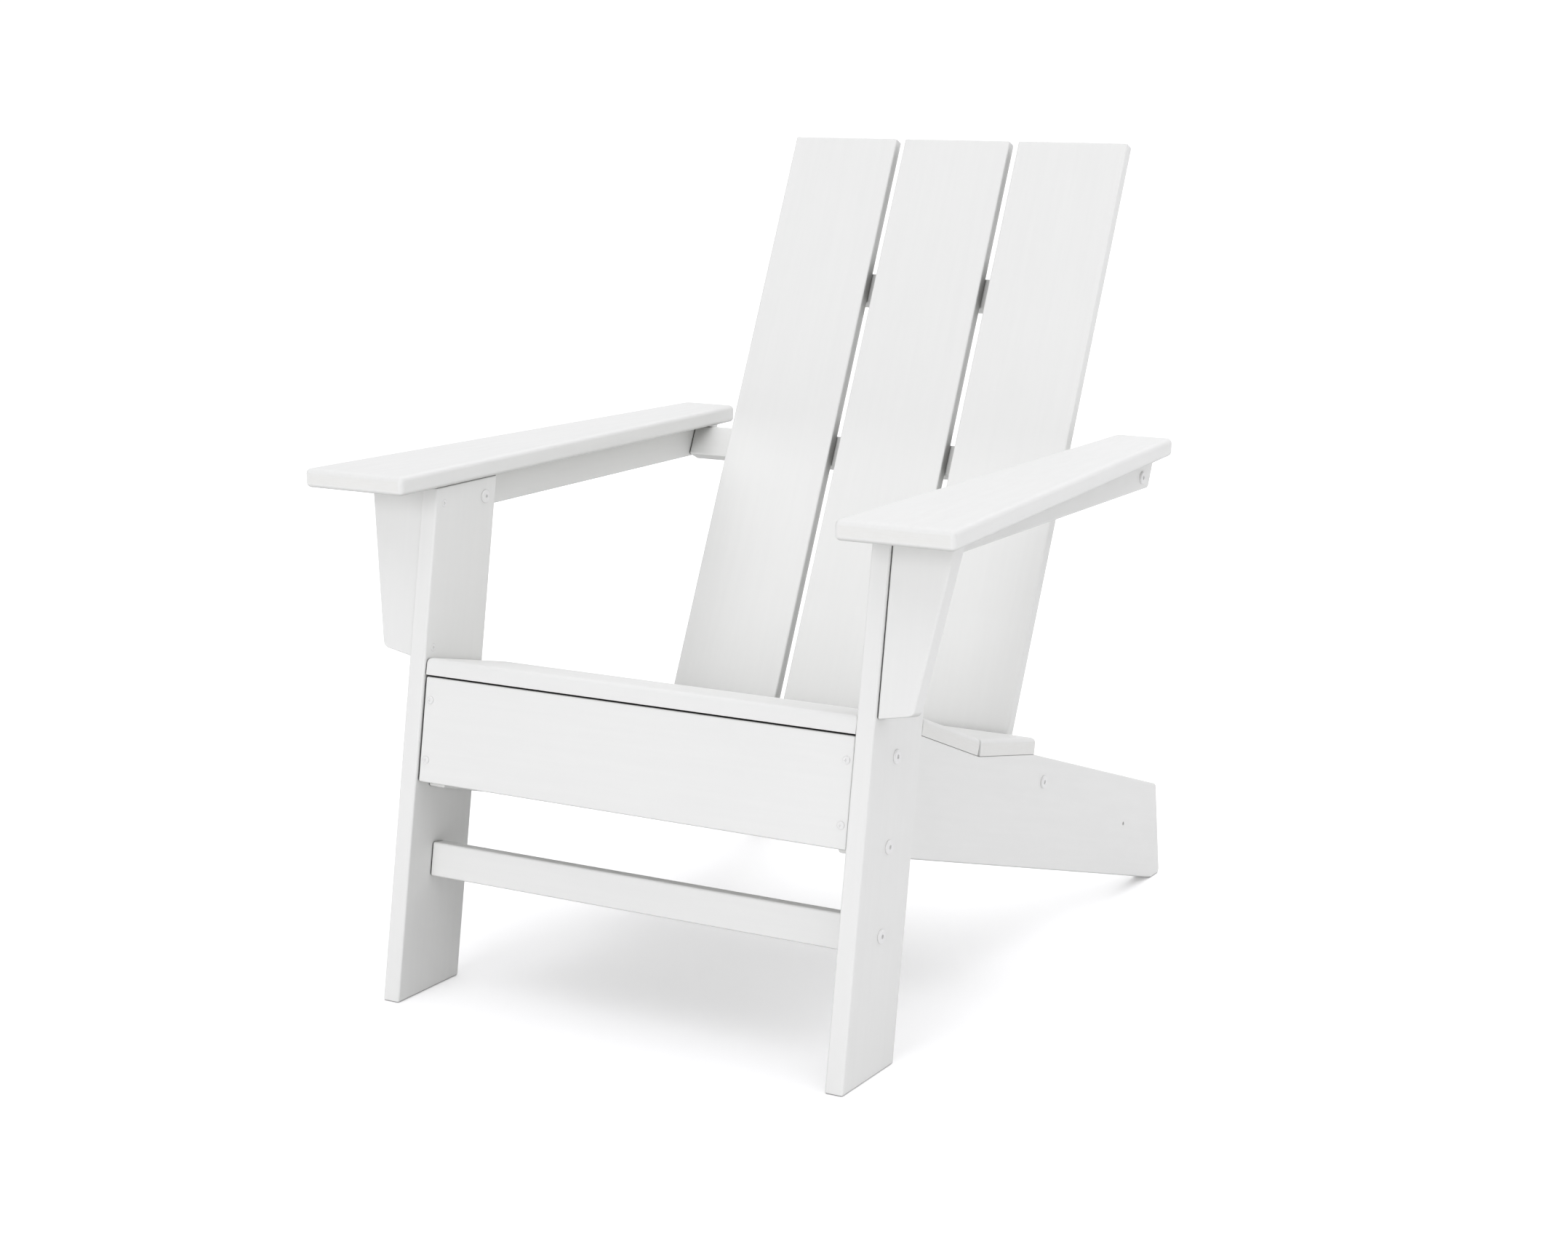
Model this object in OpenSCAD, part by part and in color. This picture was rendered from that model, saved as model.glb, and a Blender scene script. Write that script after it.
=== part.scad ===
// Adirondack chair in solid plastic lumber.
// Millimetres, +Z up, front towards -Y, origin on the floor under the middle of
// the overall box. Left and right are as seen from the front.

/* [Overall] */
// Depth from the front feet to the back of the rear feet
chair_d = 924.5; // [880:0.5:980]
// Distance between the outer faces of the two front legs
leg_span = 609.6; // [590:0.2:700]
// Height of the underside of the arms
arm_h = 590.9; // [575:0.1:620]
// Height of the front edge of the seat
seat_h = 397.5; // [390:0.5:405]
// Height of the top edge of the back
back_h = 966.2; // [900:0.1:1050]

/* [Boards] */
// Thickness of the frame boards and the arms
board_t = 22.2; // [20:0.1:24]
// Thickness of the seat slats
seat_t = 20; // [18:0.5:22]
// Thickness of the back slats
back_t = 15.9; // [14:0.1:19]
// Width of the seat slats
slat_w = 152.4; // [148:0.1:156]
// Width of the narrow battens and rails
batten_w = 40; // [36:0.5:42]
// Clearance at each end of a board that fits between the legs
end_gap = 0.8; // [0.2:0.1:1.5]

/* [Front legs] */
// Width of a front leg, square to its length
leg_w = 114.3; // [100:0.1:125]
// Backward lean of the front legs, degrees
leg_rake = 9.72; // [6:0.02:12]
// Width of the apron below the seat
apron_w = 122.4; // [110:0.1:126]
// Distance of the apron's face behind the front of the legs
apron_set = 4; // [2:0.5:8]
// Distance of the stretcher's face behind the front of the legs
stretcher_set = 42.5; // [38:0.5:46]
// Height of the stretcher's lower edge, along the leg
stretcher_at = 146.2; // [120:0.1:170]

/* [Seat] */
// Fall of the front seat slat, degrees
front_fall = 12.6; // [10:0.1:14]
// Fall of the middle seat slat, degrees
middle_fall = 21.3; // [19:0.1:23]
// Fall of the rear seat slat, degrees
rear_fall = 11.75; // [10:0.05:14]
// Gap at each end of the middle seat slat, along the side rail
seat_gap = 4.8; // [3:0.1:6]
// Gap in front of the rear seat slat, past the bend of the side rail
rear_gap = 1.5; // [1:0.1:3]

/* [Side rails] */
// Slope of the lower edge of a side rail, degrees
rail_slope = 16.52; // [15.6:0.01:17]
// Length of the flat rear foot
foot_l = 28.8; // [20:0.1:40]
// Height of the upper corner at the rear of a side rail
heel_h = 127.5; // [110:0.5:140]
// Distance of that corner in front of the rear foot
heel_set = 19.3; // [10:0.1:30]
// Diameter of the anchor hole near the rear foot
anchor_d = 5; // [3:0.5:8]

/* [Back] */
// Recline of the back from upright, degrees
recline = 25; // [24:0.1:26]
// Where the front face of the back would meet the floor, behind the front feet
back_y = 405.4; // [403:0.1:415]
// Width of a back slat
back_slat_w = 151.4; // [146:0.1:156]
// Gap between two back slats
back_gap = 12.3; // [6:0.1:16]
// Length of a back slat
back_l = 838.2; // [820:0.1:845]
// Distance of the upper batten's top edge below the top of the back
upper_batten_drop = 183; // [120:1:240]
// Length of the upper batten
upper_batten_l = 440; // [430:1:470]
// Width and depth of the square lower back support
support_w = 38.1; // [34:0.1:42]

/* [Arms] */
// Distance of an arm's inner edge from the middle of the chair
arm_in = 276.6; // [262:0.1:280]
// Width of an arm at the front
arm_w = 139.7; // [125:0.1:150]
// Width of an arm at the rear
arm_rear_w = 76.2; // [70:0.1:110]
// Distance of the front of the arms behind the front feet
arm_y = 26.5; // [10:0.5:50]
// Length of an arm
arm_l = 727.6; // [720:0.1:760]
// Width of a bracket at the arm, on the outside of the leg
corbel_top_w = 75.8; // [60:0.1:85]
// Distance of a bracket's face behind the front of the leg
corbel_set = 4; // [0:0.5:8]
// Taper of a bracket, degrees
corbel_taper = 10.2; // [8:0.1:12]
// Height of a bracket's lower inner corner, along the leg
corbel_at = 402.3; // [390:0.1:450]
// Length by which the arm rails run past the back slats, square to them
rail_tail = 56.3; // [48:0.1:60]

/* [Fasteners] */
// Diameter of the bolts
bolt_d = 6; // [5:0.5:7]
// Diameter of a flat bolt head or cap nut
bolt_head_d = 15.5; // [13:0.5:18]
// Thickness of a flat bolt head or cap nut
bolt_head_t = 2.4; // [2:0.1:3]
// Diameter of the wood screws
screw_d = 4.5; // [4:0.1:5]
// Diameter of a screw head
screw_head_d = 9; // [8:0.1:10]

/* [Hidden] */

LEFT = -1;
RIGHT = 1;
SIDES = [LEFT, RIGHT];
LUMBER = "whitesmoke";
METAL = "lightgray";
$fn = 40;

// Play of a shank in its hole, and how far a cutter runs past a face
play = 0.2;
past = 1;
corner_steps = 6;

// Hex socket of a bolt and of a cap nut, the collar of a cap nut, and the cross slot of a screw
bolt_socket_d = 5.5;
nut_socket_d = 4;
nut_sleeve_t = 1.5;
slot_l = 3.6;
slot_w = 0.9;
slot_deep = 0.8;
pan_head_t = 2;
pan_top_in = 1.5;
sleeve_d = bolt_d + 2 * nut_sleeve_t;

// Faces of the frame, measured from the middle of the chair
leg_out = leg_span / 2;
leg_in = leg_out - board_t;
rail_in = leg_in - board_t;
rail_mid = leg_in - board_t / 2;
slat_half = leg_in - end_gap;

// Points [y, z] given by their depth behind a leaning face and their place along it
function leg_point(depth, along) = [depth * cos(leg_rake) + along * sin(leg_rake),
                                    along * cos(leg_rake) - depth * sin(leg_rake)];
function back_point(depth, along) = [back_y + depth * cos(recline) + along * sin(recline),
                                     along * cos(recline) - depth * sin(recline)];
function step_down(from, fall, length) = from + length * [cos(fall), -sin(fall)];

// Where a line that falls backwards from a point crosses a plane behind the legs
function meet_leg_plane(from, fall, depth) =
    let (t = tan(leg_rake),
         y = ((from[1] + tan(fall) * from[0]) * t + depth / cos(leg_rake)) / (1 + t * tan(fall)))
    [y, from[1] + tan(fall) * (from[0] - y)];

// Underside of the seat: its slats and the bends of the side rails
apron_back = apron_set + board_t;
seat_front = [seat_h * tan(leg_rake) + apron_set / cos(leg_rake), seat_h];
slat_front_at = seat_front - seat_t * [sin(front_fall), cos(front_fall)];
bend_front = step_down(slat_front_at, front_fall, slat_w);
slat_middle_at = step_down(bend_front, middle_fall, seat_gap);
bend_rear = step_down(bend_front, middle_fall, slat_w + 2 * seat_gap);
slat_rear_at = step_down(bend_rear, rear_fall, rear_gap);
seat_end = step_down(bend_rear, rear_fall, rear_gap + slat_w);

// Front apron, along the legs
apron_top = (seat_h - seat_t * cos(front_fall) - 2) / cos(leg_rake) + apron_set * tan(leg_rake);
apron_bottom = apron_top - apron_w;

// Back, along its slats
back_top = back_h / cos(recline);
back_bottom = back_top - back_l;
back_pitch = back_slat_w + back_gap;
batten_top = back_top - upper_batten_drop;
beam_top = (arm_h + back_t * sin(recline)) / cos(recline);
support_bottom = back_bottom + 6;
beam_back = back_t + board_t;
cleat_back = beam_back + board_t;
cleat_l = 60;
cleat_h = 26;

// Arms and what carries them
arm_rail_out = leg_out + board_t;
arm_rail_low = arm_h - batten_w;
arm_rail_mid = leg_out + board_t / 2;
corbel_back = corbel_set + board_t;

// Fastener places: [y, z] on the side faces, distances along a board elsewhere
leg_mid = leg_w / 2;
leg_bolt_at = [263, 360.5];
stretcher_mid = stretcher_at + batten_w / 2;
arm_rail_bolt = [192.3, 568.4];
beam_bolt = back_point(back_t + 30.5, beam_top - cleat_h / 2);
support_mid = [back_t + support_w / 2, support_bottom + support_w / 2];
support_bolt = back_point(support_mid[0], support_mid[1]);
anchor_at = [chair_d - 128.5, 99.5];
lag_l = 70;
corbel_screw_at = [415, 582];
apron_screw_at = [285.8, 355.3];
apron_screw_x = rail_mid + 1.5;
seat_screw_at = [28, slat_w - 28];
back_screw_x = [-46, 46];
arm_screw_y = [165, 400, 640];
seat_screw_l = 50;
corbel_screw_l = 46;
apron_screw_l = 60;
back_screw_l = 33;
support_screw_l = 45;
cleat_screw_l = 42;
arm_screw_l = batten_w + 15;

// An outline's points, with each corner rounded to its own radius
function unit(v) = v / norm(v);
function near_turn(from, to) = to - from > 180 ? to - 360 : to - from < -180 ? to + 360 : to;
function corner(before, at, after, r) =
    r == 0 ? [at] :
    let (u = unit(before - at),
         w = unit(after - at),
         half = acos(u * w) / 2,
         middle = at + unit(u + w) * r / sin(half),
         first = at + u * r / tan(half) - middle,
         last = at + w * r / tan(half) - middle,
         start = atan2(first[1], first[0]),
         end = near_turn(start, atan2(last[1], last[0])))
    [for (i = [0 : corner_steps])
        let (turn = start + (end - start) * i / corner_steps)
        middle + r * [cos(turn), sin(turn)]];
function rounded(points, radii) =
    let (n = len(points))
    [for (i = [0 : n - 1])
        each corner(points[(i + n - 1) % n], points[i], points[(i + 1) % n], radii[i])];

// Side rail, and the depth of the whole chair with the rail's rear corner rounded
foot = [chair_d - foot_l, 0];
heel = [chair_d - heel_set, heel_h];
rail_outline = rounded([meet_leg_plane(foot, rail_slope, apron_back), foot, [chair_d, 0], heel,
                        seat_end, bend_rear, bend_front,
                        meet_leg_plane(slat_front_at, front_fall, apron_back)],
                       [3, 4, 6, 7, 0, 0, 0, 0]);
overall_d = max([for (at = concat(rail_outline, [back_point(back_t, back_top)])) at[0]]);

// Frames that the boards are built in: depth along Y, length along Z
module placed() { translate([0, -overall_d / 2, 0]) children(); }
module on_side(side) { mirror([side == LEFT ? 1 : 0, 0, 0]) children(); }
module leg_frame() { rotate([-leg_rake, 0, 0]) children(); }
module back_frame() { translate([0, back_y, 0]) rotate([-recline, 0, 0]) children(); }
module slat_frame(at, fall) { translate([0, at[0], at[1]]) rotate([-fall, 0, 0]) children(); }

// A board with the outline [y, z], lying between x and x + thickness
module side_board(outline, x, thickness) {
    translate([x, 0, 0]) rotate([90, 0, 90]) linear_extrude(thickness) polygon(outline);
}

// A straight board from corner to corner
module board(low, high) { translate(low) cube(high - low); }

// A round cutter along X at [y, z]
module cross_hole(at, d, x0, x1) {
    translate([x0, at[0], at[1]]) rotate([0, 90, 0]) cylinder(d = d, h = x1 - x0);
}

// Everything below the underside of the arms
module below_arms() { board([-chair_d, -chair_d, -chair_d], [chair_d, 2 * chair_d, arm_h]); }

// Fasteners stand along +Z with the bearing face of the head at the origin
module flat_head(socket_d) {
    difference() {
        union() {
            cylinder(d = bolt_head_d, h = bolt_head_t * 0.6);
            translate([0, 0, bolt_head_t * 0.6])
                cylinder(d1 = bolt_head_d, d2 = bolt_head_d - 2, h = bolt_head_t * 0.4);
        }
        translate([0, 0, bolt_head_t * 0.25]) cylinder(d = socket_d, h = bolt_head_t, $fn = 6);
    }
}
module bolt(length) {
    flat_head(bolt_socket_d);
    translate([0, 0, -length]) cylinder(d = bolt_d, h = length + bolt_head_t * 0.2);
}
module cap_nut(length) {
    difference() {
        union() {
            flat_head(nut_socket_d);
            translate([0, 0, -length]) cylinder(d = sleeve_d, h = length + bolt_head_t * 0.1);
        }
        translate([0, 0, -length - past]) cylinder(d = bolt_d + play, h = length + past);
    }
}
module cross_recess() {
    for (turn = [0, 90]) rotate([0, 0, turn]) cube([slot_l, slot_w, 2 * slot_deep], center = true);
}
module pan_screw(length) {
    difference() {
        union() {
            cylinder(d = screw_head_d, h = pan_head_t / 2);
            translate([0, 0, pan_head_t / 2])
                cylinder(d1 = screw_head_d, d2 = screw_head_d - 2 * pan_top_in, h = pan_head_t / 2);
        }
        translate([0, 0, pan_head_t]) cross_recess();
    }
    translate([0, 0, -length]) cylinder(d = screw_d, h = length + 0.2);
}
module countersunk_screw(length) {
    sink = (screw_head_d - screw_d) / 2;
    difference() {
        union() {
            translate([0, 0, -sink]) cylinder(d1 = screw_d, d2 = screw_head_d, h = sink);
            translate([0, 0, -length]) cylinder(d = screw_d, h = length - sink);
        }
        cross_recess();
    }
}
module pan_screw_hole(length) {
    translate([0, 0, -length - play]) cylinder(d = screw_d + play, h = length + play + past);
}
module countersunk_hole(length) {
    sink = (screw_head_d - screw_d) / 2;
    pan_screw_hole(length);
    translate([0, 0, -sink]) cylinder(d1 = screw_d + play, d2 = screw_head_d + play, h = sink);
    cylinder(d = screw_head_d + play, h = past);
}

// Each group of screws, placed; the child is a screw or the cutter for its hole
module corbel_screw_places(side) {
    on_side(side) leg_frame() for (along = corbel_screw_at)
        translate([leg_in, corbel_set + board_t / 2, along]) rotate([0, -90, 0]) children();
}
module apron_screw_places() {
    leg_frame() for (side = SIDES, along = apron_screw_at)
        translate([side * apron_screw_x, apron_set, along]) rotate([90, 0, 0]) children();
}
module seat_screw_places() {
    for (slat = [[slat_front_at, front_fall], [slat_middle_at, middle_fall], [slat_rear_at, rear_fall]])
        slat_frame(slat[0], slat[1]) for (side = SIDES, along = seat_screw_at)
            translate([side * rail_mid, along, seat_t]) children();
}
module back_screw_places() {
    back_frame() for (i = [-1 : 1], x = back_screw_x, along = [batten_top, beam_top])
        translate([i * back_pitch + x, beam_back, along - batten_w / 2]) rotate([-90, 0, 0]) children();
}
module support_screw_places() {
    back_frame() for (i = [-1 : 1], x = back_screw_x)
        translate([i * back_pitch + x, 0, support_mid[1]]) rotate([90, 0, 0]) children();
}
module cleat_screw_places(side) {
    on_side(side) back_frame() for (x = [20, 45])
        translate([leg_out - x, cleat_back, beam_top - cleat_h / 2 - 6]) rotate([-90, 0, 0]) children();
}
module arm_screw_places(side) {
    on_side(side) for (y = arm_screw_y)
        translate([arm_rail_mid, y, arm_rail_low]) rotate([180, 0, 0]) children();
}

module front_leg(side) {
    color(LUMBER) placed() difference() {
        on_side(side) side_board([[0, 0], [leg_w / cos(leg_rake), 0],
                                  [leg_w / cos(leg_rake) + arm_h * tan(leg_rake), arm_h],
                                  [arm_h * tan(leg_rake), arm_h]], leg_in, board_t);
        on_side(side) {
            for (along = concat(leg_bolt_at, stretcher_mid))
                cross_hole(leg_point(leg_mid, along), bolt_d + play, leg_in - past, leg_out + past);
            cross_hole(arm_rail_bolt, sleeve_d + play, leg_in - past, leg_out + past);
        }
        corbel_screw_places(side) countersunk_hole(corbel_screw_l);
    }
}

module side_rail(side) {
    color(LUMBER) placed() difference() {
        on_side(side) side_board(rail_outline, rail_in, board_t);
        on_side(side) {
            for (along = leg_bolt_at)
                cross_hole(leg_point(leg_mid, along), sleeve_d + play, rail_in - past, leg_in + past);
            cross_hole(support_bolt, bolt_d + play, rail_in - past, leg_in + past);
            cross_hole(anchor_at, anchor_d, rail_in - past, leg_in + past);
        }
        apron_screw_places() pan_screw_hole(apron_screw_l);
        seat_screw_places() countersunk_hole(seat_screw_l);
    }
}

module front_apron() {
    color(LUMBER) placed() difference() {
        leg_frame() board([-slat_half, apron_set, apron_bottom], [slat_half, apron_back, apron_top]);
        apron_screw_places() pan_screw_hole(apron_screw_l);
    }
}

module front_stretcher() {
    color(LUMBER) placed() difference() {
        leg_frame() board([-leg_in, stretcher_set, stretcher_at],
                          [leg_in, stretcher_set + board_t, stretcher_at + batten_w]);
        for (side = SIDES) on_side(side)
            cross_hole(leg_point(leg_mid, stretcher_mid), bolt_d + play, leg_out - lag_l - play, leg_out);
    }
}

module seat_slat(at, fall) {
    color(LUMBER) placed() difference() {
        slat_frame(at, fall) board([-slat_half, 0, 0], [slat_half, slat_w, seat_t]);
        seat_screw_places() countersunk_hole(seat_screw_l);
    }
}

module back_slat(place) {
    x = place * back_pitch;
    color(LUMBER) placed() difference() {
        back_frame() board([x - back_slat_w / 2, 0, back_bottom], [x + back_slat_w / 2, back_t, back_top]);
        back_screw_places() countersunk_hole(back_screw_l);
        support_screw_places() countersunk_hole(support_screw_l);
    }
}

module upper_back_batten() {
    color(LUMBER) placed() difference() {
        back_frame() board([-upper_batten_l / 2, back_t, batten_top - batten_w],
                           [upper_batten_l / 2, beam_back, batten_top]);
        back_screw_places() countersunk_hole(back_screw_l);
    }
}

module arm_cross_beam() {
    color(LUMBER) placed() difference() {
        back_frame() board([-leg_out, back_t, beam_top - batten_w], [leg_out, beam_back, beam_top]);
        back_screw_places() countersunk_hole(back_screw_l);
        for (side = SIDES) cleat_screw_places(side) countersunk_hole(cleat_screw_l);
    }
}

module beam_cleat(side) {
    color(LUMBER) placed() difference() {
        on_side(side) back_frame()
            board([leg_out - cleat_l, beam_back, beam_top - cleat_h], [leg_out, cleat_back, beam_top]);
        on_side(side) cross_hole(beam_bolt, bolt_d + play, arm_rail_out - lag_l - play, leg_out + past);
        cleat_screw_places(side) countersunk_hole(cleat_screw_l);
    }
}

module lower_back_support() {
    color(LUMBER) placed() difference() {
        back_frame() board([-rail_in, back_t, support_bottom],
                           [rail_in, back_t + support_w, support_bottom + support_w]);
        for (side = SIDES) on_side(side)
            cross_hole(support_bolt, bolt_d + play, leg_in - lag_l - play, rail_in + past);
        support_screw_places() countersunk_hole(support_screw_l);
    }
}

module arm(side) {
    outline = [[arm_in, arm_y], [arm_in + arm_w, arm_y],
               [arm_in + arm_rear_w, arm_y + arm_l], [arm_in, arm_y + arm_l]];
    color(LUMBER) placed() difference() {
        on_side(side) translate([0, 0, arm_h]) linear_extrude(board_t) polygon(outline);
        arm_screw_places(side) countersunk_hole(arm_screw_l);
    }
}

module arm_rail(side) {
    tail = back_point(back_t + rail_tail, 0);
    outline = [[arm_rail_low * tan(leg_rake) + corbel_back / cos(leg_rake), arm_rail_low],
               [tail[0] + (arm_rail_low - tail[1]) * tan(recline), arm_rail_low],
               [tail[0] + (arm_h - tail[1]) * tan(recline), arm_h],
               [arm_h * tan(leg_rake) + corbel_back / cos(leg_rake), arm_h]];
    color(LUMBER) placed() difference() {
        on_side(side) side_board(rounded(outline, [0, 6, 0, 0]), leg_out, board_t);
        on_side(side) {
            cross_hole(arm_rail_bolt, bolt_d + play, leg_out - past, arm_rail_out + past);
            cross_hole(beam_bolt, bolt_d + play, leg_out - past, arm_rail_out + past);
        }
        arm_screw_places(side) countersunk_hole(arm_screw_l);
    }
}

module corbel(side) {
    top = arm_h / cos(leg_rake) + board_t;
    lean = tan(corbel_taper);
    // The lower edge is square to the tapered outer edge
    low_w = (corbel_top_w - (arm_h / cos(leg_rake) - corbel_at) * lean) / (1 - lean * lean);
    outline = [[leg_out, corbel_at], [leg_out + low_w, corbel_at + low_w * lean],
               [leg_out + corbel_top_w + board_t * lean, top], [leg_out, top]];
    color(LUMBER) placed() difference() {
        intersection() {
            on_side(side) leg_frame() translate([0, corbel_set + board_t, 0]) rotate([90, 0, 0])
                linear_extrude(board_t) polygon(rounded(outline, [0, 9, 0, 0]));
            below_arms();
        }
        corbel_screw_places(side) countersunk_hole(corbel_screw_l);
    }
}

module leg_bolts() {
    color(METAL) placed() for (side = SIDES) on_side(side) for (along = leg_bolt_at) {
        at = leg_point(leg_mid, along);
        translate([leg_out, at[0], at[1]]) rotate([0, 90, 0]) bolt(2 * board_t - 6);
    }
}
module leg_cap_nuts() {
    color(METAL) placed() for (side = SIDES) on_side(side) for (along = leg_bolt_at) {
        at = leg_point(leg_mid, along);
        translate([rail_in, at[0], at[1]]) rotate([0, -90, 0]) cap_nut(board_t - 4);
    }
}
module stretcher_bolts() {
    at = leg_point(leg_mid, stretcher_mid);
    color(METAL) placed() for (side = SIDES) on_side(side)
        translate([leg_out, at[0], at[1]]) rotate([0, 90, 0]) bolt(lag_l);
}
module arm_rail_bolts() {
    color(METAL) placed() for (side = SIDES) on_side(side)
        translate([arm_rail_out, arm_rail_bolt[0], arm_rail_bolt[1]]) rotate([0, 90, 0])
            bolt(2 * board_t - 6);
}
module arm_rail_cap_nuts() {
    color(METAL) placed() for (side = SIDES) on_side(side)
        translate([leg_in, arm_rail_bolt[0], arm_rail_bolt[1]]) rotate([0, -90, 0])
            cap_nut(board_t - 4);
}
module beam_bolts() {
    color(METAL) placed() for (side = SIDES) on_side(side)
        translate([arm_rail_out, beam_bolt[0], beam_bolt[1]]) rotate([0, 90, 0]) bolt(lag_l);
}
module support_bolts() {
    color(METAL) placed() for (side = SIDES) on_side(side)
        translate([leg_in, support_bolt[0], support_bolt[1]]) rotate([0, 90, 0]) bolt(lag_l);
}
module apron_screws() { color(METAL) placed() apron_screw_places() pan_screw(apron_screw_l); }
module corbel_screws() {
    color(METAL) placed() for (side = SIDES)
        corbel_screw_places(side) countersunk_screw(corbel_screw_l);
}
module seat_screws() { color(METAL) placed() seat_screw_places() countersunk_screw(seat_screw_l); }
module back_screws() { color(METAL) placed() back_screw_places() countersunk_screw(back_screw_l); }
module support_screws() {
    color(METAL) placed() support_screw_places() countersunk_screw(support_screw_l);
}
module cleat_screws() {
    color(METAL) placed() for (side = SIDES)
        cleat_screw_places(side) countersunk_screw(cleat_screw_l);
}
module arm_screws() {
    color(METAL) placed() for (side = SIDES) arm_screw_places(side) countersunk_screw(arm_screw_l);
}

front_leg(LEFT);  // left_front_leg
front_leg(RIGHT);  // right_front_leg
side_rail(LEFT);  // left_side_rail
side_rail(RIGHT);  // right_side_rail
front_apron();
front_stretcher();
seat_slat(slat_front_at, front_fall);  // seat_slat_front
seat_slat(slat_middle_at, middle_fall);  // seat_slat_middle
seat_slat(slat_rear_at, rear_fall);  // seat_slat_rear
back_slat(LEFT);  // back_slat_left
back_slat(0);  // back_slat_center
back_slat(RIGHT);  // back_slat_right
upper_back_batten();
arm_cross_beam();
beam_cleat(LEFT);  // left_beam_cleat
beam_cleat(RIGHT);  // right_beam_cleat
lower_back_support();
arm(LEFT);  // left_arm
arm(RIGHT);  // right_arm
arm_rail(LEFT);  // left_arm_rail
arm_rail(RIGHT);  // right_arm_rail
corbel(LEFT);  // left_corbel
corbel(RIGHT);  // right_corbel
leg_bolts();
leg_cap_nuts();
stretcher_bolts();
arm_rail_bolts();
arm_rail_cap_nuts();
beam_bolts();
support_bolts();
apron_screws();
corbel_screws();
seat_screws();
back_screws();
support_screws();
cleat_screws();
arm_screws();
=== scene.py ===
"""White adirondack chair of solid plastic lumber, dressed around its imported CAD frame."""

from math import pi, radians

import bmesh
import bpy
from mathutils import Euler, Matrix, Vector


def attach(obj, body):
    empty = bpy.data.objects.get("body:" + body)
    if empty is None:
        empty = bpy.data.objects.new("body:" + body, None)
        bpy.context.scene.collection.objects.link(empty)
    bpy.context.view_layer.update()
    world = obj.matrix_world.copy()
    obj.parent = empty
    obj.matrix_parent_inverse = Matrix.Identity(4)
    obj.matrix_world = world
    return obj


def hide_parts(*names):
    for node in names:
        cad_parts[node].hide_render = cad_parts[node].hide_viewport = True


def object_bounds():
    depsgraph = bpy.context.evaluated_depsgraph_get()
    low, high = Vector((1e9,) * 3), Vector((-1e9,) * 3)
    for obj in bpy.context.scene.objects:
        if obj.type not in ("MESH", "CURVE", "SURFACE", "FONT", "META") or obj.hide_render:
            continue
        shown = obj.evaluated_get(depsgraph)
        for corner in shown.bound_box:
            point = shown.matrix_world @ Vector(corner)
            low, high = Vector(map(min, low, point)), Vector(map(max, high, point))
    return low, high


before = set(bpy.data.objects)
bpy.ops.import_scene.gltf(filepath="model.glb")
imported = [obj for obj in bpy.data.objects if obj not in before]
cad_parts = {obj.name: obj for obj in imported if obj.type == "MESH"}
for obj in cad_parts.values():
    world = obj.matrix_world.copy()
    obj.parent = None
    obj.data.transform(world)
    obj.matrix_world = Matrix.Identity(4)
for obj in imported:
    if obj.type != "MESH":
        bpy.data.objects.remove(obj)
cad_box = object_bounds()
MM = 0.001

# Radii of the rounded edges, in millimetres
EASED = 2.6
SOFT = 2.4
ROUND_OVER = 5.4
ARM = 6.0
CRISP = 0.8
HEAD_RIM = 0.25

# Camera: lens and sensor in millimetres, turns in degrees, and its place in metres, of which
# CAMERA_AHEAD is counted from the front of the chair
LENS_MM = 63.84
SENSOR_MM = 36
CAMERA_X = 1.6349
CAMERA_AHEAD = 2.4325
CAMERA_Z = 1.0962
CAMERA_TURN = 29.942
CAMERA_DOWN = 11.983


# ---------------------------------------------------------------- node helpers


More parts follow.
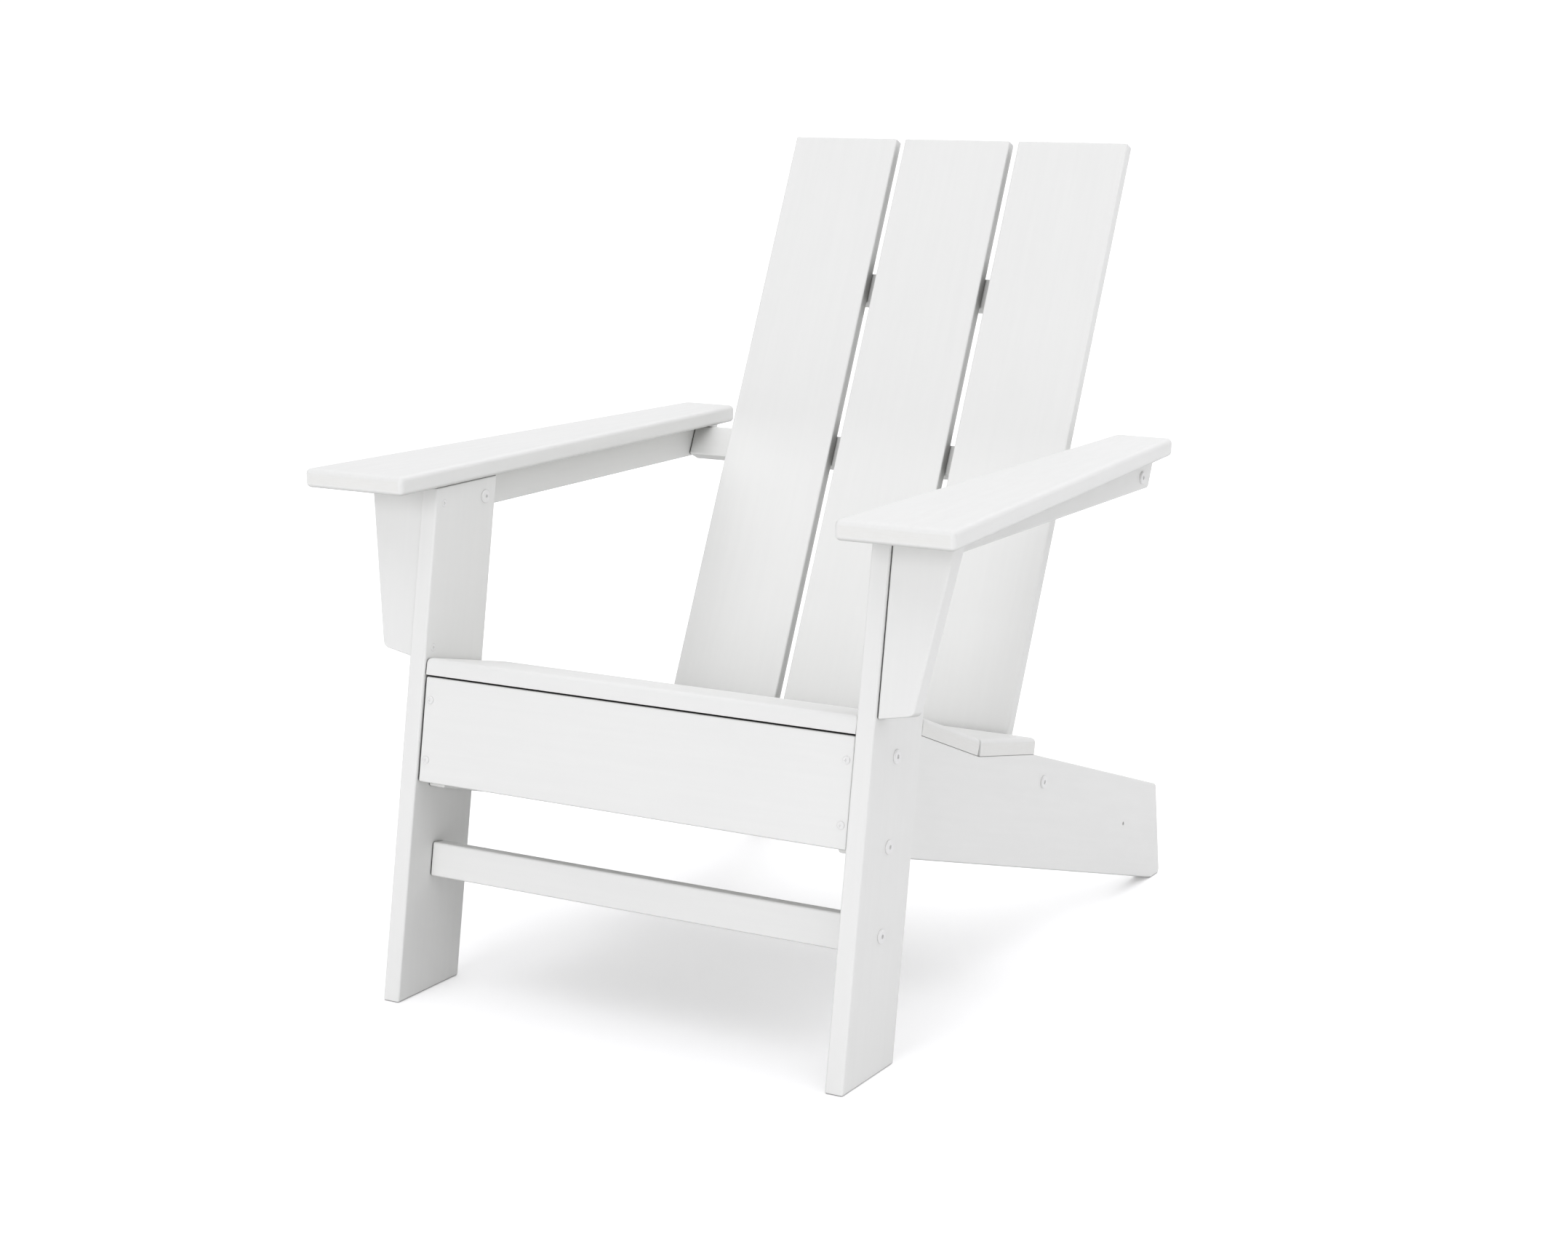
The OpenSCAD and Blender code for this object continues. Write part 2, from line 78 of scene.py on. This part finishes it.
class Graph:
    """A material's node tree, with short calls for the nodes used here."""

    def __init__(self, name, along_board=False):
        self.material = bpy.data.materials.new(name)
        self.material.use_nodes = True
        self.nodes = self.material.node_tree.nodes
        self.links = self.material.node_tree.links
        self.shader = self.nodes["Principled BSDF"]
        if along_board:
            self.place = self.attribute("grain", "Vector")
        else:
            self.place = self.nodes.new("ShaderNodeTexCoord").outputs["Object"]

    def plug(self, socket, value):
        """Links another node's output to the socket, or sets a plain value; None leaves it alone."""
        if isinstance(value, bpy.types.NodeSocket):
            self.links.new(value, socket)
        elif value is not None:
            socket.default_value = value

    def math(self, operation, a, b=None, c=None):
        node = self.nodes.new("ShaderNodeMath")
        node.operation = operation
        for socket, value in zip(node.inputs, (a, b, c)):
            self.plug(socket, value)
        return node.outputs[0]

    def scaled(self, stretch):
        """The place on the surface times stretch, one factor per axis."""
        node = self.nodes.new("ShaderNodeMapping")
        self.plug(node.inputs["Vector"], self.place)
        node.inputs["Scale"].default_value = stretch
        return node.outputs["Vector"]

    def noise(self, stretch, detail=2.0, roughness=0.5, distortion=0.0):
        """Soft noise, with stretch in waves per metre along each axis."""
        node = self.nodes.new("ShaderNodeTexNoise")
        self.plug(node.inputs["Vector"], self.scaled(stretch))
        node.inputs["Scale"].default_value = 1.0
        node.inputs["Detail"].default_value = detail
        node.inputs["Roughness"].default_value = roughness
        node.inputs["Distortion"].default_value = distortion
        return node.outputs["Fac"]

    def cells(self, stretch):
        """Distance to the nearest of a set of scattered points, 0 at a point."""
        node = self.nodes.new("ShaderNodeTexVoronoi")
        self.plug(node.inputs["Vector"], self.scaled(stretch))
        node.inputs["Scale"].default_value = 1.0
        return node.outputs["Distance"]

    def ramp(self, value, low, high, to_low=0.0, to_high=1.0):
        """A smooth step from to_low to to_high as value goes from low to high."""
        node = self.nodes.new("ShaderNodeMapRange")
        node.interpolation_type = "SMOOTHSTEP"
        for name, number in (("From Min", low), ("From Max", high), ("To Min", to_low), ("To Max", to_high)):
            node.inputs[name].default_value = number
        self.plug(node.inputs["Value"], value)
        return node.outputs["Result"]

    def mix(self, share, a, b):
        """The colour a at share 0, and b at share 1."""
        node = self.nodes.new("ShaderNodeMix")
        node.data_type = "RGBA"
        self.plug(node.inputs["Factor"], share)
        self.plug(node.inputs["A"], a)
        self.plug(node.inputs["B"], b)
        return node.outputs["Result"]

    def bump(self, height, distance, strength, normal=None):
        """A surface normal that shows the height as relief, on top of another normal if given."""
        node = self.nodes.new("ShaderNodeBump")
        node.inputs["Strength"].default_value = strength
        node.inputs["Distance"].default_value = distance
        self.plug(node.inputs["Height"], height)
        self.plug(node.inputs["Normal"], normal)
        return node.outputs["Normal"]

    def facing_down(self):
        """How far a face turns to the ground: 0 on an upright or upward face, 1 on a flat underside."""
        parts = self.nodes.new("ShaderNodeSeparateXYZ")
        self.plug(parts.inputs[0], self.nodes.new("ShaderNodeNewGeometry").outputs["Normal"])
        return self.ramp(parts.outputs["Z"], -1.0, -0.15, 1.0, 0.0)

    def openness(self, distance):
        """How open the surroundings are within a distance: 1 on a free face, 0 deep in a seam."""
        node = self.nodes.new("ShaderNodeAmbientOcclusion")
        node.samples = 8
        node.inputs["Distance"].default_value = distance
        return node.outputs["AO"]

    def attribute(self, name, output="Fac"):
        """A value that is stored with the mesh."""
        node = self.nodes.new("ShaderNodeAttribute")
        node.attribute_name = name
        return node.outputs[output]


# ---------------------------------------------------------------- materials

# Colours of the lumber: its surface from tone to tone, then what marks and cuts turn it to, and the painted
# shade of its seams, slots and undersides
SKIN = ((0.800, 0.803, 0.786, 1), (0.816, 0.819, 0.801, 1))
SPECK = (0.760, 0.762, 0.746, 1)
WORN = (0.74, 0.738, 0.72, 1)
SAWN = (0.775, 0.772, 0.742, 1)
# The last three are painted shade: in the seams between boards, deep in the slots of the back, and on
# undersides
SEAM_SHADE = (0.03, 0.03, 0.028, 1)
SLOT_SHADE = (0.16, 0.16, 0.15, 1)
UNDERSIDE_SHADE = (0.28, 0.28, 0.265, 1)

# How far around a point the painted shade of the seams and of the slots of the back looks for other boards
SEAM_SHADE_REACH = 4 * MM
SLOT_SHADE_REACH = 30 * MM

# Colours of the fasteners' coat, from tone to tone, and of its rubbed rims
COAT = ((0.80, 0.80, 0.79, 1), (0.83, 0.83, 0.82, 1))
RUBBED = (0.6, 0.6, 0.6, 1)

FLOOR = ((0.93, 0.93, 0.93, 1), (0.95, 0.95, 0.95, 1))
FLOOR_GLOW = 0.28
PLAIN_WHITE = (1, 1, 1, 1)


def lumber_material():
    """Through-coloured white plastic: faint flow streaks, a pebbled surface, sawn ends and handled edges,
    with painted shade in seams, in the slots of the back and on undersides.
    """
    g = Graph("lumber", along_board=True)
    streaks = g.noise((6, 130, 130), detail=4, roughness=0.6)
    clouds = g.noise((5, 9, 9), detail=2)
    pebble = g.noise((1300, 1300, 1300), detail=3, roughness=0.6)
    pits = g.ramp(g.cells((230, 230, 230)), 0.04, 0.16)
    scuffs = g.noise((50, 240, 240), detail=4, roughness=0.7, distortion=0.6)
    sawn = g.attribute("sawn")
    edge = g.attribute("edge")

    tone = g.math("ADD", g.math("MULTIPLY", streaks, 0.6), g.math("MULTIPLY", clouds, 0.4))
    skin_and_shade = g.mix(g.ramp(tone, 0.3, 0.7), *SKIN)
    speck = g.ramp(pebble, 0.62, 0.75, 0.0, 0.3)
    skin_and_shade = g.mix(speck, skin_and_shade, SPECK)
    worn = g.math("MULTIPLY", edge, g.ramp(scuffs, 0.52, 0.68))
    skin_and_shade = g.mix(g.math("MULTIPLY", worn, 0.25), skin_and_shade, WORN)
    cut = g.noise((300, 60, 700), detail=3, roughness=0.7)
    skin_and_shade = g.mix(g.math("MULTIPLY", sawn, g.ramp(cut, 0.35, 0.7, 0.4, 0.8)), skin_and_shade, SAWN)
    # Painted shade: near black where another board closes in within a few millimetres, along every seam and
    # inside corner
    seam_shade = g.ramp(g.openness(SEAM_SHADE_REACH), 0.15, 0.7, 0.95, 0.0)
    skin_and_shade = g.mix(seam_shade, skin_and_shade, SEAM_SHADE)
    # Painted shade: dark deep in the narrow slots between the back's boards
    slot_shade = g.math("MULTIPLY", g.attribute("slotted"), g.ramp(g.openness(SLOT_SHADE_REACH), 0.3, 0.72, 0.8, 0.0))
    skin_and_shade = g.mix(slot_shade, skin_and_shade, SLOT_SHADE)
    # Painted shade: darker on faces that turn to the ground
    skin_and_shade = g.mix(g.math("MULTIPLY", g.facing_down(), 0.55), skin_and_shade, UNDERSIDE_SHADE)
    g.plug(g.shader.inputs["Base Color"], skin_and_shade)

    matt = g.ramp(g.noise((30, 90, 90), detail=3), 0.3, 0.7, 0.46, 0.6)
    matt = g.math("SUBTRACT", matt, g.math("MULTIPLY", edge, 0.08))
    matt = g.math("ADD", matt, g.math("MULTIPLY", sawn, 0.15))
    g.plug(g.shader.inputs["Roughness"], matt)

    saw = g.nodes.new("ShaderNodeTexWave")
    g.plug(saw.inputs["Vector"], g.scaled((1, 1, 1)))
    saw.bands_direction = "Y"
    saw.inputs["Scale"].default_value = 140
    saw.inputs["Distortion"].default_value = 1.2
    saw.inputs["Detail"].default_value = 2
    height = g.math("ADD", g.math("MULTIPLY", pebble, 0.6), g.math("MULTIPLY", pits, 0.4))
    normal = g.bump(height, 0.12 * MM, 0.3)
    normal = g.bump(streaks, 0.2 * MM, 0.1, normal)
    normal = g.bump(g.math("MULTIPLY", saw.outputs["Fac"], sawn), 0.1 * MM, 0.25, normal)
    g.plug(g.shader.inputs["Normal"], normal)
    return g.material


def fastener_material():
    """White coated steel: a thin sprayed coat, rubbed at the rims."""
    g = Graph("fastener")
    peel = g.noise((900, 900, 900), detail=2)
    rubbed = g.math("MULTIPLY", g.attribute("edge"), g.ramp(g.noise((500, 500, 500), detail=3), 0.5, 0.7))
    coat = g.mix(g.ramp(peel, 0.3, 0.7), *COAT)
    g.plug(g.shader.inputs["Base Color"], g.mix(g.math("MULTIPLY", rubbed, 0.35), coat, RUBBED))
    g.plug(g.shader.inputs["Roughness"], g.ramp(peel, 0.3, 0.7, 0.3, 0.42))
    g.plug(g.shader.inputs["Normal"], g.bump(peel, 0.05 * MM, 0.3))
    return g.material


def floor_material():
    """Plain white studio floor, faintly uneven; its glow is seen by the camera but lights nothing."""
    g = Graph("floor")
    grain = g.noise((3, 3, 3), detail=3)
    g.plug(g.shader.inputs["Base Color"], g.mix(grain, *FLOOR))
    g.shader.inputs["Roughness"].default_value = 0.9
    g.shader.inputs["Specular IOR Level"].default_value = 0.1
    g.shader.inputs["Emission Color"].default_value = PLAIN_WHITE
    seen = g.nodes.new("ShaderNodeLightPath").outputs["Is Camera Ray"]
    g.plug(g.shader.inputs["Emission Strength"], g.math("MULTIPLY", seen, FLOOR_GLOW))
    return g.material


# ---------------------------------------------------------------- boards

# Faces within FLAT_TURN of each other are one flat face, and edges that turn by SHARP_TURN are sharp
FLAT_TURN = radians(1.0)
SHARP_TURN = radians(25)

# Corners of a node's mesh that are closer than this are one
SAME_PLACE = 0.002 * MM

# The wall of a hole has faces no larger than this, and an inside corner of more than this, in radians
SMALL_FACE = 60 * MM * MM
INSIDE_TURN = 0.01

# Steps around a rounded edge, and the material places that tell its strips from the flat faces
ROUND_STEPS = 6
FLAT, STRIP = 0, 1

# Widths of slivers to merge, tried from the widest down, and the width below which a face is thin
SLIVERS = (0.004 * MM, 0.002 * MM, 0.001 * MM, 0.0005 * MM)
THIN = 0.003 * MM

# How alike two normals are, as a cosine: a strip and the flat face or strip it leads into, a board's
# end and its length, a face that looks up and the vertical, and a long edge square to the thickness
SAME_FLAT = 0.9
SAME_STRIP = 0.5
END_FACE = 0.9
LOOKS_UP = 0.7
SQUARE = 0.01


def join_flats(bm):
    """Makes one face of the faces that lie in one plane and touch."""
    bmesh.ops.dissolve_limit(
        bm, angle_limit=FLAT_TURN, verts=bm.verts, edges=bm.edges, use_dissolve_boundaries=False
    )
    bm.normal_update()


def solid_mesh(node):
    """The node's mesh as one clean solid: corners merged, and flat faces whole."""
    bm = bmesh.new()
    bm.from_mesh(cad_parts[node].data)
    bmesh.ops.remove_doubles(bm, verts=bm.verts, dist=SAME_PLACE)
    join_flats(bm)
    return bm


def forward(direction):
    """The direction or its opposite, whichever has its largest share above zero."""
    largest = max(direction, key=abs)
    return -direction if largest < 0 else direction


def board_axes(bm):
    """The piece's own axes as columns: its length, its width and its thickness."""
    thick = max(bm.faces, key=lambda face: face.calc_area()).normal.copy()
    long_edges = sorted(bm.edges, key=lambda edge: edge.calc_length(), reverse=True)
    for edge in long_edges:
        along = (edge.verts[1].co - edge.verts[0].co).normalized()
        if abs(along.dot(thick)) < SQUARE:
            break
    along = forward(along)
    thick = forward(thick)
    return Matrix((along, thick.cross(along), thick)).transposed()


def bored(face):
    """Whether a face is the wall of a hole: small, and meeting another face in an inside corner."""
    if face.calc_area() > SMALL_FACE:
        return False
    turns = [edge.calc_face_angle_signed() for edge in face.edges if len(edge.link_faces) == 2]
    return any(turn < -INSIDE_TURN for turn in turns)


def flat_groups(bm, walls):
    """The faces outside the bores, in groups that lie in one plane and touch."""
    groups = []
    seen = set(walls)
    for start in bm.faces:
        if start in seen:
            continue
        group = {start}
        front = [start]
        while front:
            face = front.pop()
            for edge in face.edges:
                for other in edge.link_faces:
                    if other in seen or other in group:
                        continue
                    if other.normal.angle(start.normal) < FLAT_TURN:
                        group.add(other)
                        front.append(other)
        seen |= group
        groups.append(group)
    return groups


def outline(group, walls):
    """The corners of a flat group's outer border, in order; the rims of bores are left out."""
    following = {}
    for face in group:
        for loop in face.loops:
            other = next(link for link in loop.edge.link_faces if link is not face)
            if other not in group and other not in walls:
                following[loop.vert] = loop.link_loop_next.vert
    corner = next(iter(following))
    ordered = []
    while corner not in ordered:
        ordered.append(corner)
        corner = following[corner]
    return ordered


def unbored(bm):
    """The same board before it was drilled."""
    walls = {face for face in bm.faces if bored(face)}
    whole = bmesh.new()
    placed = {}
    for group in flat_groups(bm, walls):
        corners = outline(group, walls)
        for corner in corners:
            if corner not in placed:
                placed[corner] = whole.verts.new(corner.co)
        whole.faces.new([placed[corner] for corner in corners])
    whole.normal_update()
    join_flats(whole)
    return whole


def rounded_piece(node, suffix, radius_of, material, bores=True, slotted=0.0):
    """The visual piece for a node: a copy with its outer edges rounded, and its bores cut afterwards.

    radius_of takes the two face normals at an edge and gives its radius in millimetres. A node without
    bores is rounded as it is. The last argument is how much painted shade the slots of the back lay on the
    piece."""
    bm = solid_mesh(node)
    axes = board_axes(bm)
    if bores:
        drilled = bm
        bm = unbored(drilled)
        drilled.free()
    weights = bm.edges.layers.float.new("bevel_weight_edge")
    widest = 0.0
    radii = {}
    for edge in bm.edges:
        faces = edge.link_faces
        if len(faces) == 2 and edge.calc_face_angle_signed() > SHARP_TURN:
            radii[edge] = radius_of(faces[0].normal, faces[1].normal)
            widest = max(widest, radii[edge])
    for edge, radius in radii.items():
        edge[weights] = radius / widest
    mesh = bpy.data.meshes.new(node)
    bm.to_mesh(mesh)
    bm.free()
    mesh.materials.clear()
    # The same material twice: the second place only marks the strips of the rounded edges
    mesh.materials.append(material)
    mesh.materials.append(material)

    raw = bpy.data.objects.new(node + ".raw", mesh)
    bpy.context.scene.collection.objects.link(raw)
    bevel = raw.modifiers.new("round", "BEVEL")
    bevel.limit_method = "WEIGHT"
    bevel.width = widest * MM
    bevel.segments = ROUND_STEPS
    bevel.use_clamp_overlap = False
    bevel.material = STRIP
    if bores:
        drill = raw.modifiers.new("drill", "BOOLEAN")
        drill.operation = "INTERSECT"
        drill.solver = "EXACT"
        drill.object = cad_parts[node]
    piece = bpy.data.objects.new(node + suffix, finished_mesh(raw, node, axes))
    # The share of the slots' painted shade, stored with the mesh
    if slotted:
        mask = piece.data.attributes.new("slotted", "FLOAT", "FACE")
        mask.data.foreach_set("value", [slotted] * len(mask.data))
    bpy.context.scene.collection.objects.link(piece)
    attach(piece, "root")
    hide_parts(node)
    return piece


def finished_mesh(raw, name, axes):
    """The rounded mesh, with its masks and even normals; raw is removed."""
    view = bpy.context.evaluated_depsgraph_get()
    mesh = bpy.data.meshes.new_from_object(raw.evaluated_get(view))
    mesh.name = name
    bpy.data.objects.remove(raw)
    drop_slivers(mesh)
    even_normals(mesh)
    add_masks(mesh, axes)
    return mesh


def drop_slivers(mesh):
    """Merges the corners of sliver faces, as far as the solid stays closed."""
    for width in SLIVERS:
        bm = bmesh.new()
        bm.from_mesh(mesh)
        bmesh.ops.remove_doubles(bm, verts=bm.verts, dist=width)
        bmesh.ops.dissolve_degenerate(bm, edges=bm.edges, dist=width)
        closed = all(edge.is_manifold for edge in bm.edges)
        if closed:
            bm.to_mesh(mesh)
        bm.free()
        if closed:
            return


def is_thin(mesh, face):
    """Whether a face is a mere sliver, with no direction of its own."""
    places = [mesh.vertices[vertex].co for vertex in face.vertices]
    longest = max((place - places[i - 1]).length for i, place in enumerate(places))
    return face.area < THIN * longest


def strip_normal(face, flats, strips):
    """The normal of a strip's face at one of its corners, from the flat faces and strips that meet there."""
    if flats:
        nearest = max(flats, key=lambda flat: flat.normal.dot(face.normal))
        if nearest.normal.dot(face.normal) > SAME_FLAT:
            return nearest.normal
    total = Vector()
    for strip in strips:
        if strip.normal.dot(face.normal) > SAME_STRIP:
            total = total + strip.normal * strip.area
    return total.normalized() if total.length > 0 else face.normal


def even_normals(mesh):
    """Flat faces keep their own normal, and rounded strips run smoothly from one flat face to the next.

    A thin face takes the normals of the largest faces at its corners."""
    flats = {}
    strips = {}
    largest = {}
    for face in mesh.polygons:
        kind = strips if face.material_index == STRIP else flats
        for vertex in face.vertices:
            kind.setdefault(vertex, []).append(face)
            if vertex not in largest or face.area > largest[vertex].area:
                largest[vertex] = face
    thin = {face.index for face in mesh.polygons if is_thin(mesh, face)}
    normals = []
    for face in mesh.polygons:
        for vertex in face.vertices:
            normal = face.normal
            if face.index in thin:
                normal = largest[vertex].normal
            elif face.material_index == STRIP:
                normal = strip_normal(face, flats.get(vertex, []), strips[vertex])
            normals.append(normal)
    mesh.shade_smooth()
    mesh.set_sharp_from_angle(angle=SHARP_TURN)
    for index in thin:
        for corner in mesh.polygons[index].loop_indices:
            mesh.edges[mesh.loops[corner].edge_index].use_edge_sharp = True
    mesh.normals_split_custom_set(normals)


def add_masks(mesh, axes):
    """Stores each point's place in the board's own axes, and masks for rounded edges and sawn ends.

    The marks on the strips of the rounded edges are used here, and then removed."""
    to_board = axes.inverted()
    grain = mesh.attributes.new("grain", "FLOAT_VECTOR", "POINT")
    for vertex in mesh.vertices:
        grain.data[vertex.index].vector = to_board @ vertex.co
    along = axes.col[0]
    on_flat = set()
    on_end = set()
    for face in mesh.polygons:
        if face.material_index == FLAT:
            on_flat.update(face.vertices)
            if abs(face.normal.dot(along)) > END_FACE:
                on_end.update(face.vertices)
    edge = mesh.attributes.new("edge", "FLOAT", "CORNER")
    sawn = mesh.attributes.new("sawn", "FLOAT", "CORNER")
    for face in mesh.polygons:
        strip = face.material_index == STRIP
        end = abs(face.normal.dot(along)) > END_FACE
        for corner in face.loop_indices:
            vertex = mesh.loops[corner].vertex_index
            edge.data[corner].value = float(strip and vertex not in on_flat)
            sawn.data[corner].value = float(vertex in on_end and (strip or end))
        face.material_index = FLAT
    mesh.materials.pop(index=STRIP)


def even_radius(radius):
    """The same radius at every edge."""
    return lambda first, second: radius


def top_radius(first, second):
    """Seat slats: a full round-over above, crisp below."""
    return ROUND_OVER if max(first.z, second.z) > LOOKS_UP else CRISP


# How each board's edges are rounded; every other node is a set of fasteners
BOARDS = {
    "left_front_leg": even_radius(EASED),
    "right_front_leg": even_radius(EASED),
    "left_side_rail": even_radius(SOFT),
    "right_side_rail": even_radius(SOFT),
    "front_apron": even_radius(EASED),
    "front_stretcher": even_radius(EASED),
    "seat_slat_front": top_radius,
    "seat_slat_middle": top_radius,
    "seat_slat_rear": top_radius,
    "back_slat_left": even_radius(SOFT),
    "back_slat_center": even_radius(SOFT),
    "back_slat_right": even_radius(SOFT),
    "upper_back_batten": even_radius(EASED),
    "arm_cross_beam": even_radius(EASED),
    "left_beam_cleat": even_radius(EASED),
    "right_beam_cleat": even_radius(EASED),
    "lower_back_support": even_radius(EASED),
    "left_arm": even_radius(ARM),
    "right_arm": even_radius(ARM),
    "left_arm_rail": even_radius(EASED),
    "right_arm_rail": even_radius(EASED),
    "left_corbel": even_radius(EASED),
    "right_corbel": even_radius(EASED),
}

# The boards that form the narrow slots of the back, and how much painted shade the slots lay on them
SLOT_SHADE_SHARES = {
    "back_slat_left": 1.0,
    "back_slat_center": 1.0,
    "back_slat_right": 1.0,
    "upper_back_batten": 0.75,
    "arm_cross_beam": 0.5,
}

lumber = lumber_material()
fastener = fastener_material()
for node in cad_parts:
    if node in BOARDS:
        board = rounded_piece(node, ".board", BOARDS[node], lumber, slotted=SLOT_SHADE_SHARES.get(node, 0.0))
    else:
        coated = rounded_piece(node, ".coated", even_radius(HEAD_RIM), fastener, bores=False)


# ---------------------------------------------------------------- studio

FLOOR_SIZE = 60.0

# The room's light from each direction, and how bright the bare room looks to the camera
ROOM_LIGHTS = (((0, 0, 1), 1.62), ((1, 0, 0), 0.55), ((0, 1, 0), 1.08))
ROOM_WHITE = 1.05

# The broad front light: its strength, and its height and spread in degrees
FRONT_LIGHT = 0.335
FRONT_HEIGHT = 15
FRONT_SPREAD = 30
LIGHT_TINT = (0.997, 0.994, 1.015, 1)


def add_floor():
    """A square of floor under the feet, large enough to look endless."""
    mesh = bpy.data.meshes.new("floor")
    half = FLOOR_SIZE / 2
    corners = [(-half, -half, 0), (half, -half, 0), (half, half, 0), (-half, half, 0)]
    mesh.from_pydata(corners, [], [(0, 1, 2, 3)])
    floor = bpy.data.objects.new("floor", mesh)
    bpy.context.scene.collection.objects.link(floor)
    floor.data.materials.append(floor_material())


def add_light():
    """A soft white room, brightest overhead, with one broad light from the front.

    The light from each direction falls off with the square of the cosine, and the lights add up."""
    world = bpy.data.worlds.new("studio")
    bpy.context.scene.world = world
    world.use_nodes = True
    nodes = world.node_tree.nodes
    link = world.node_tree.links.new
    room = nodes["Background"]
    room.inputs["Color"].default_value = LIGHT_TINT
    direction = nodes.new("ShaderNodeTexCoord").outputs["Generated"]
    total = None
    for toward, strength in ROOM_LIGHTS:
        dot = nodes.new("ShaderNodeVectorMath")
        dot.operation = "DOT_PRODUCT"
        link(direction, dot.inputs[0])
        dot.inputs[1].default_value = toward
        last = dot.outputs["Value"]
        for operation, value in (("MAXIMUM", 0), ("POWER", 2), ("MULTIPLY", strength)):
            step = nodes.new("ShaderNodeMath")
            step.operation = operation
            link(last, step.inputs[0])
            step.inputs[1].default_value = value
            last = step.outputs[0]
        if total is not None:
            step = nodes.new("ShaderNodeMath")
            link(total, step.inputs[0])
            link(last, step.inputs[1])
            last = step.outputs[0]
        total = last
    link(total, room.inputs["Strength"])

    # The room itself shows as plain white
    white = nodes.new("ShaderNodeBackground")
    white.inputs["Strength"].default_value = ROOM_WHITE
    white.inputs["Color"].default_value = PLAIN_WHITE
    choose = nodes.new("ShaderNodeMixShader")
    link(nodes.new("ShaderNodeLightPath").outputs["Is Camera Ray"], choose.inputs["Fac"])
    link(room.outputs[0], choose.inputs[1])
    link(white.outputs[0], choose.inputs[2])
    link(choose.outputs[0], nodes["World Output"].inputs["Surface"])

    front = bpy.data.lights.new("front", "SUN")
    front.energy = FRONT_LIGHT * pi
    front.angle = radians(FRONT_SPREAD)
    front.color = LIGHT_TINT[:3]
    lamp = bpy.data.objects.new("front", front)
    bpy.context.scene.collection.objects.link(lamp)
    lamp.rotation_euler = Euler((radians(90 - FRONT_HEIGHT), 0, 0))


def add_camera():
    """The view of the photo, placed from the front of the frame."""
    front = cad_box[0].y
    data = bpy.data.cameras.new("camera")
    data.lens = LENS_MM
    data.sensor_width = SENSOR_MM
    camera = bpy.data.objects.new("camera", data)
    bpy.context.scene.collection.objects.link(camera)
    camera.location = (CAMERA_X, front - CAMERA_AHEAD, CAMERA_Z)
    camera.rotation_euler = Euler((radians(90 - CAMERA_DOWN), 0, radians(CAMERA_TURN)))
    bpy.context.scene.camera = camera


add_floor()
add_light()
add_camera()
bpy.context.scene.view_settings.view_transform = "Standard"
